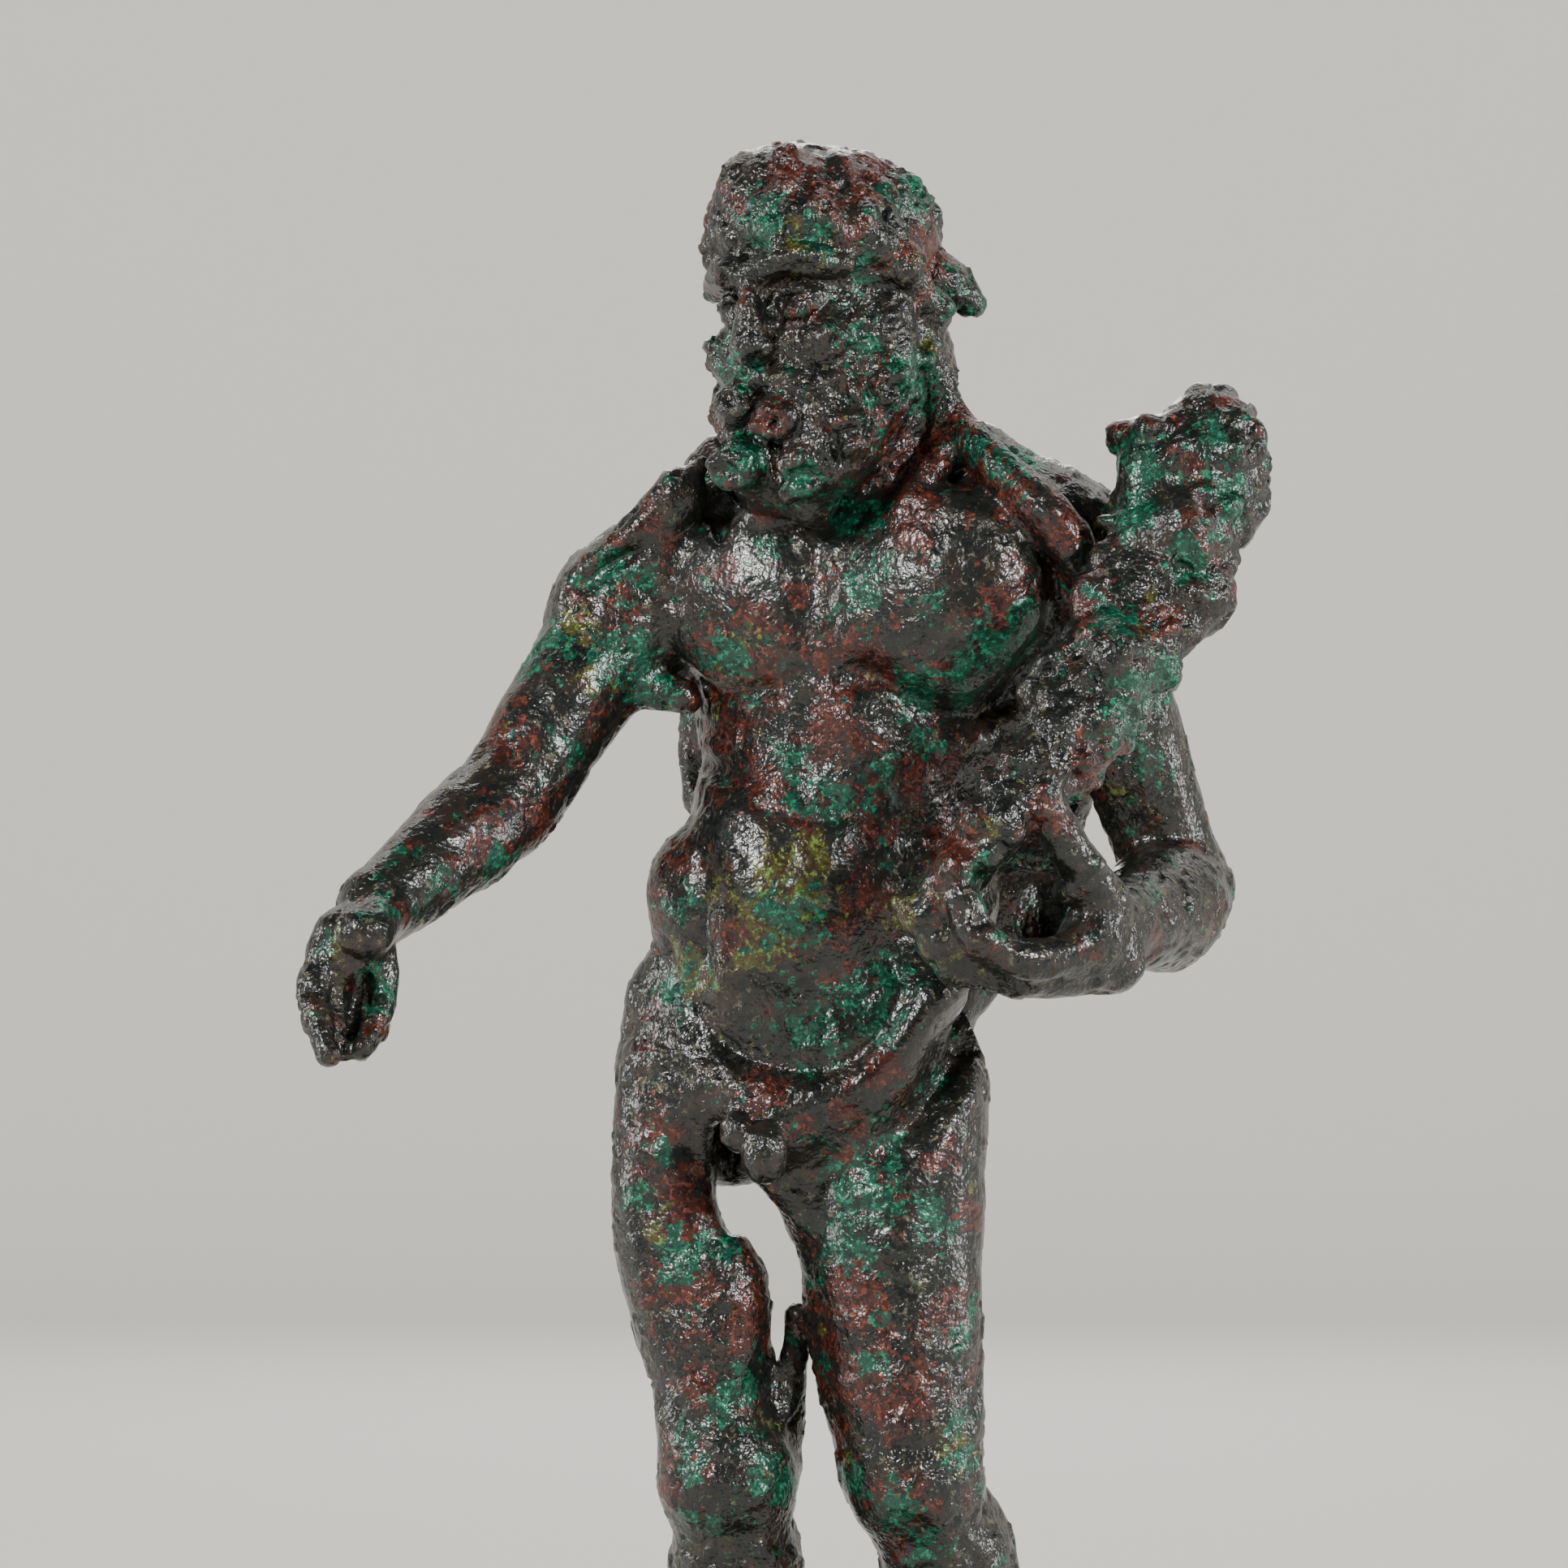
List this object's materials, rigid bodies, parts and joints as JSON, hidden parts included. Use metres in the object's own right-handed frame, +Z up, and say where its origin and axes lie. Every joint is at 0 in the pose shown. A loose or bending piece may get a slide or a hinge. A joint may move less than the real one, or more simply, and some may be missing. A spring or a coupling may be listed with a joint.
{
  "type": "bronze hero statuette",
  "caption": "Small patinated bronze statuette of a bearded hero with club, lion skin and outstretched cupped hand, standing on a low round base.",
  "frame": {"origin": "centre of the round base's underside, on the surface it stands on", "axes": "+Z up, -Y towards the viewer of the picture, +X to that viewer's right, the figure's own left"},
  "size_m": [0.0705, 0.05, 0.1438],
  "materials": {
    "patinated_bronze": "excavated tin bronze, dark glossy patina mottled with green, red-brown and buff corrosion",
    "base_bronze": "turned tin bronze under a dark even patina"
  },
  "bodies": {
    "root": {"figure": "patinated_bronze", "base": "base_bronze"}
  },
  "joints": []
}
